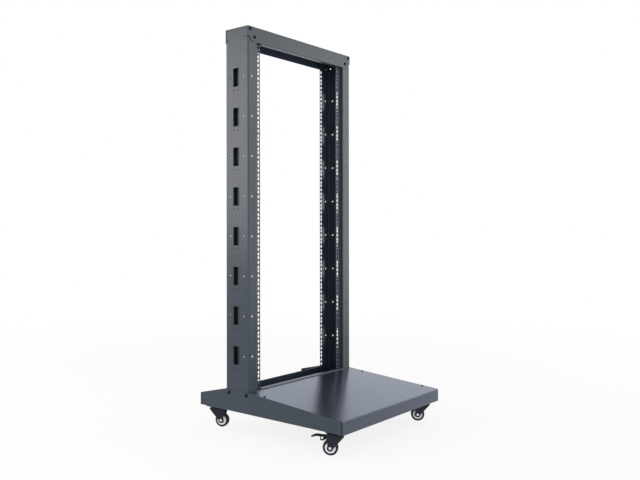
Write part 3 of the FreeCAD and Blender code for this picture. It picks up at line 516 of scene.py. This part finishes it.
# Pin: a plain shaft as long as the fork is wide, turned about an axis beside the axle's.
def pinPart(swivel, turn):
    size, half = pinSizes, caster["legOutside"]
    shaft = [(0, half), (size["radius"], half), (size["radius"], -half), (0, -half)]
    return turned(shaft, toWorld((size["along"], 0.0, size["up"]), swivel, turn), turn[1], size["turns"])


for corner in corners:
    swivel = np.array(joints[corner + "_swivel_turn"]["pos_m"]) * (1, 1, 0)
    hub = np.array(joints[corner + "_wheel_spin"]["pos_m"])
    axis = np.array(joints[corner + "_wheel_spin"]["axis"], float)
    turn = np.stack([unit((hub - swivel) * (1, 1, 0)), axis, (0.0, 0.0, 1.0)])

    tyre = addPiece(corner + "_tyre_shape", [tyrePart(hub, axis)],
                    corner + "_wheel", tyreRubber)
    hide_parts(corner + "_tyre")
    rim = addPiece(corner + "_rim_shape", [rimPart(hub, axis)],
                   corner + "_wheel", rimPlastic)
    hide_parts(corner + "_rim")
    axle = addPiece(corner + "_axle_shape", axleParts(hub, axis),
                    corner + "_swivel", axleSteel)
    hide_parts(corner + "_axle")
    plate = addPiece(corner + "_plate_shape", plateParts(swivel),
                     "rack", casterSteel)
    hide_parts(corner + "_caster_plate")

    heads = []
    for x in (-1, 1):
        for y in (-1, 1):
            place = swivel + mm * np.array((x * plateScrews["spread"], y * plateScrews["spread"],
                                            caster["plateBottom"]))
            heads.append(screwHead(place, (0, 0, -1), plateScrews["radius"], plateScrews["height"],
                                   x * plateScrews["turn"][0] + y * plateScrews["turn"][1]))
    addPiece(corner + "_plate_screws", heads, "rack", screwBlack)

    if corner in braked:
        parts = [make(swivel, turn) for make in (pedalPart, shoePart, loopPart, pinPart)]
        lever = addPiece(corner + "_lever_shape", parts, corner + "_brake", leverPlastic)
        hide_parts(corner + "_brake_lever")
print("stage: casters")

# Cut edges of the sheets catch a little light: the width of the bevel on each, where faces meet at a corner.
edgeWidths = {"front_tray": 0.85, "top_beam": 0.4, "bottom_beam": 0.4, "left_foot": 0.85, "right_foot": 0.85}
edgeWidths.update({corner + "_fork": 0.35 for corner in corners})
edgeShape = {"segments": 2, "leastAngle": 50}
for name, width in edgeWidths.items():
    bevel = nodes[name].modifiers.new("edge", "BEVEL")
    bevel.width = width * mm
    bevel.segments = edgeShape["segments"]
    bevel.limit_method = "ANGLE"
    bevel.angle_limit = math.radians(edgeShape["leastAngle"])


# Rays that show what lies behind or around the object: the camera's own, and those seen in gloss or
# through glass. The value is one for each of these and nought for the rest.
def seenRays(tree):
    rays = tree.nodes.new("ShaderNodeLightPath").outputs
    seen = worked(tree, "MAXIMUM", rays["Is Camera Ray"], rays["Is Glossy Ray"])
    return worked(tree, "MAXIMUM", seen, rays["Is Transmission Ray"])


# Floor: a wide sheet with a faint grain. It takes the shadow near the object, where its glow has the share
# called white, and turns fully white from near to far.
floorLook = {"reach": 14.0, "cells": 40, "near": 1.2, "far": 3.2, "white": 0.85, "grains": 40,
             "dark": (0.89, 0.89, 0.89), "light": (0.91, 0.91, 0.91), "rough": 0.9}
u = floorLook["reach"] * np.linspace(-1, 1, floorLook["cells"] + 1)
floorX, floorY = np.meshgrid(u, u, indexing="ij")
floorPoints, floorQuads = gridPart(np.stack([floorX, floorY, 0 * floorX], 2), wrapU=False)
floorMesh = bpy.data.meshes.new("floor")
floorMesh.from_pydata(floorPoints.tolist(), [], floorQuads.tolist())
floorMaterial = bpy.data.materials.new("floor_white")
floorMaterial.use_nodes = True
floorTree = floorMaterial.node_tree
floorShader = floorTree.nodes["Principled BSDF"]
floorTint = blended(floorTree, grain(floorTree, floorLook["grains"]), floorLook["dark"], floorLook["light"])
floorTree.links.new(floorTint, floorShader.inputs["Base Color"])
floorShader.inputs["Roughness"].default_value = floorLook["rough"]
floorShader.inputs["Specular IOR Level"].default_value = 0.0
floorPlace = floorTree.nodes.new("ShaderNodeTexCoord")
floorAway = floorTree.nodes.new("ShaderNodeVectorMath")
floorAway.operation = "LENGTH"
floorTree.links.new(floorPlace.outputs["Object"], floorAway.inputs[0])
floorShare = mapped(floorTree, floorAway.outputs["Value"], floorLook["white"], 1.0,
                    floorLook["near"], floorLook["far"])
floorSeen = worked(floorTree, "MULTIPLY", floorShare, seenRays(floorTree))
floorGlow = floorTree.nodes.new("ShaderNodeEmission")
floorMix = shaderMix(floorTree, floorSeen, floorShader.outputs["BSDF"], floorGlow.outputs["Emission"])
floorTree.links.new(floorMix, floorTree.nodes["Material Output"].inputs["Surface"])
floorMesh.materials.append(floorMaterial)
floor = bpy.data.objects.new("floor", floorMesh)
bpy.context.scene.collection.objects.link(floor)

# Surroundings: white to the camera and in reflections, softer as light.
surround = {"light": 0.7, "seen": 1.0}
world = bpy.data.worlds.new("studio")
bpy.context.scene.world = world
world.use_nodes = True
worldTree = world.node_tree
worldTree.nodes.clear()
skies = []
for kind in ("light", "seen"):
    sky = worldTree.nodes.new("ShaderNodeBackground")
    sky.inputs["Color"].default_value = (1, 1, 1, 1)
    sky.inputs["Strength"].default_value = surround[kind]
    skies.append(sky.outputs["Background"])
worldOutput = worldTree.nodes.new("ShaderNodeOutputWorld")
worldMix = shaderMix(worldTree, seenRays(worldTree), *skies)
worldTree.links.new(worldMix, worldOutput.inputs["Surface"])

# Soft boxes: place, the point that each faces, its size, power and colour.
softBoxes = {"left_rear": {"place": (-2.1, 1.8, 1.27), "faces": (-0.3, 0.1, 0.9), "size": (1.5, 1.36),
                           "watts": 30, "colour": (1.0, 0.95, 0.91)},
             "left_high": {"place": (-2.1, 1.8, 2.3), "faces": (-0.3, 0.1, 1.0), "size": (1.4, 0.7),
                           "watts": 2, "colour": (1.0, 0.90, 0.80)},
             "right_tall": {"place": (2.65, -1.6, 1.08), "faces": (0.2, 0.05, 0.9), "size": (1.1, 2.06),
                            "watts": 16.5, "colour": (0.96, 0.98, 1.0)},
             "right_front": {"place": (1.5, -1.55, 1.75), "faces": (0.0, 0.05, 0.9), "size": (0.6, 0.6),
                             "watts": 2.5, "colour": (1.0, 0.95, 0.90)},
             "camera_side": {"place": (-2.6, -2.2, 1.1), "faces": (0.0, 0.0, 0.4), "size": (1.6, 1.4),
                             "watts": 15, "colour": (0.82, 0.92, 1.0)},
             "front_low": {"place": (-1.3, -2.3, 0.3), "faces": (0.0, -0.2, 0.05), "size": (1.0, 0.4),
                           "watts": 9, "colour": (0.95, 0.97, 1.0)}}
for name, box in softBoxes.items():
    lamp = bpy.data.lights.new(name, "AREA")
    lamp.shape = "RECTANGLE"
    lamp.size, lamp.size_y = box["size"]
    lamp.energy = box["watts"]
    lamp.color = box["colour"]
    holder = bpy.data.objects.new(name, lamp)
    bpy.context.scene.collection.objects.link(holder)
    towards = np.array(box["faces"]) - np.array(box["place"])
    holder.location = box["place"]
    holder.rotation_euler = (math.atan2(math.hypot(towards[0], towards[1]), -towards[2]), 0,
                             math.atan2(towards[0], -towards[1]) + math.pi)
print("stage: studio")

# Camera at the photograph's place: level, looking across the left front corner. Heading is its direction
# along x and y.
cameraLook = {"sensor": 36, "lens": 41.112, "shift": (0.11362, -0.01734), "roll": 0.0012,
              "place": (-2.10482, -1.52973, 0.68679), "heading": (0.74662, 0.66526)}
cameraData = bpy.data.cameras.new("camera")
cameraData.sensor_width = cameraLook["sensor"]
cameraData.lens = cameraLook["lens"]
cameraData.shift_x, cameraData.shift_y = cameraLook["shift"]
cameraObject = bpy.data.objects.new("camera", cameraData)
cameraObject.location = cameraLook["place"]
headingX, headingY = cameraLook["heading"]
cameraObject.rotation_euler = (math.pi / 2, cameraLook["roll"], math.atan2(-headingX, headingY))
bpy.context.scene.collection.objects.link(cameraObject)
bpy.context.scene.camera = cameraObject
bpy.context.scene.view_settings.view_transform = "Standard"

bpy.context.view_layer.update()
print("stage: done")
